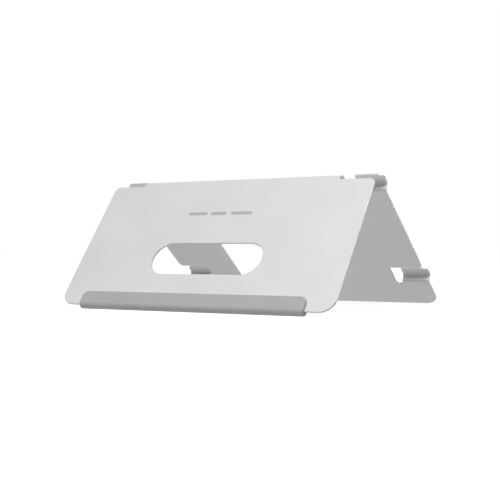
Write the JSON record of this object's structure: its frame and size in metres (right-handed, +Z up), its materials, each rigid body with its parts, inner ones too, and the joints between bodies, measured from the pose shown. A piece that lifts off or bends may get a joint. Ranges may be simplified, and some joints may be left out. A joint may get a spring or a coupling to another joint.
{
  "type": "folded sheet laptop stand",
  "caption": "Free-standing A-frame stand folded from one metal sheet, with a grip slot, hook tabs at the back and a soft strip along the front edge.",
  "frame": {"origin": "centre of the bounding box at its bottom face, on the surface the stand rests on", "axes": "+X across the stand to the viewer's right as seen from the front, +Y from the front panel towards the rear panel, +Z up"},
  "size_m": [0.25, 0.224, 0.1081],
  "materials": {
    "sheet_metal": "fine bead-blasted satin, clear anodised",
    "strip_rubber": "matte moulded silicone rubber",
    "print_ink": "flat screen print"
  },
  "bodies": {
    "root": {"front_panel": "sheet_metal", "apex_fold": "sheet_metal", "rear_panel": "sheet_metal", "hook_upper_left": "sheet_metal", "hook_upper_right": "sheet_metal", "hook_lower_left": "sheet_metal", "hook_lower_right": "sheet_metal", "edge_strip": "strip_rubber"}
  },
  "joints": []
}
